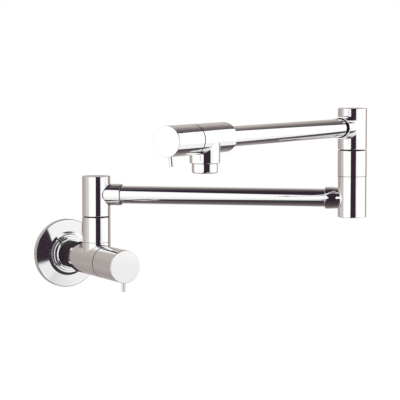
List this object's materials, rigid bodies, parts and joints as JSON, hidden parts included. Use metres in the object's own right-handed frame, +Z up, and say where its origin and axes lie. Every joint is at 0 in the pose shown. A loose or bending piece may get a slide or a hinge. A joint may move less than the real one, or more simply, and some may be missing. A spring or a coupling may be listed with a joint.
{
  "type": "wall mounted pot filler",
  "caption": "Wall mounted kitchen tap with two swivelling arms, a quarter-turn valve at the wall and another at the spout, and a round wall flange.",
  "frame": {"origin": "centre of the inlet, on the wall plane", "axes": "+Y into the wall along the inlet, -Y out into the room, +Z up, +X to the right when the wall is faced"},
  "size_m": [0.3278, 0.4398, 0.2012],
  "materials": {
    "chrome": "polished chrome plate",
    "brass": "machined, bare",
    "rubber": "moulded, matt black",
    "ceramic": "lapped alumina ceramic",
    "plastic": "moulded acetal",
    "steel": "stainless steel"
  },
  "bodies": {
    "wall_valve": {"wall_gasket": "rubber", "escutcheon": "chrome", "escutcheon_collar": "chrome", "inlet_neck": "chrome", "neck_seal": "rubber", "valve_body": "chrome", "valve_cartridge_housing": "brass", "valve_cartridge_seal": "rubber", "valve_seat_seal": "rubber", "valve_fixed_disc": "ceramic", "riser_sleeve": "chrome", "riser_spigot": "brass", "riser_seals": "rubber", "riser_thrust_washer": "plastic"},
    "valve_handle": {"valve_spindle": "brass", "valve_moving_disc": "ceramic", "valve_spindle_seals": "rubber", "valve_spindle_clip": "steel", "valve_handle_adapter": "plastic", "valve_adapter_screw": "steel", "valve_handle": "chrome", "valve_handle_screw": "steel", "valve_lever": "chrome"},
    "inner_arm": {"inner_arm_hub": "chrome", "inner_arm_tube": "chrome", "inner_arm_screw": "steel", "elbow_base": "chrome", "elbow_sleeve": "chrome", "elbow_spigot": "brass", "elbow_seals": "rubber", "elbow_thrust_washer": "plastic"},
    "outer_arm": {"outer_arm_hub": "chrome", "outer_arm_tube": "chrome", "outer_arm_screw": "steel", "spout_body": "chrome", "spout_cartridge_housing": "brass", "spout_cartridge_seal": "rubber", "spout_seat_seal": "rubber", "spout_fixed_disc": "ceramic", "aerator_housing": "chrome", "aerator_washer": "rubber", "aerator_insert": "plastic"},
    "spout_handle": {"spout_spindle": "brass", "spout_moving_disc": "ceramic", "spout_spindle_seals": "rubber", "spout_spindle_clip": "steel", "spout_handle_adapter": "plastic", "spout_adapter_screw": "steel", "spout_handle": "chrome", "spout_handle_screw": "steel", "spout_lever": "chrome"}
  },
  "joints": [
    {"name": "riser_swivel", "type": "hinge", "parent": "wall_valve", "child": "inner_arm", "pos_m": [0, -0.082, 0.0704], "axis": [0, 0, 1], "range_deg": [-140.7, 39.3]},
    {"name": "elbow_swivel", "type": "hinge", "parent": "inner_arm", "child": "outer_arm", "pos_m": [0.21126, -0.25491, 0.1441], "axis": [0, 0, 1], "continuous": true},
    {"name": "valve_handle_turn", "type": "hinge", "parent": "wall_valve", "child": "valve_handle", "pos_m": [0, -0.082, 0], "axis": [0, -1, 0], "range_deg": [0, 90]},
    {"name": "spout_handle_turn", "type": "hinge", "parent": "outer_arm", "child": "spout_handle", "pos_m": [-0.04027, -0.39722, 0.1441], "axis": [-0.8704, -0.4924, 0], "range_deg": [0, 90]}
  ]
}
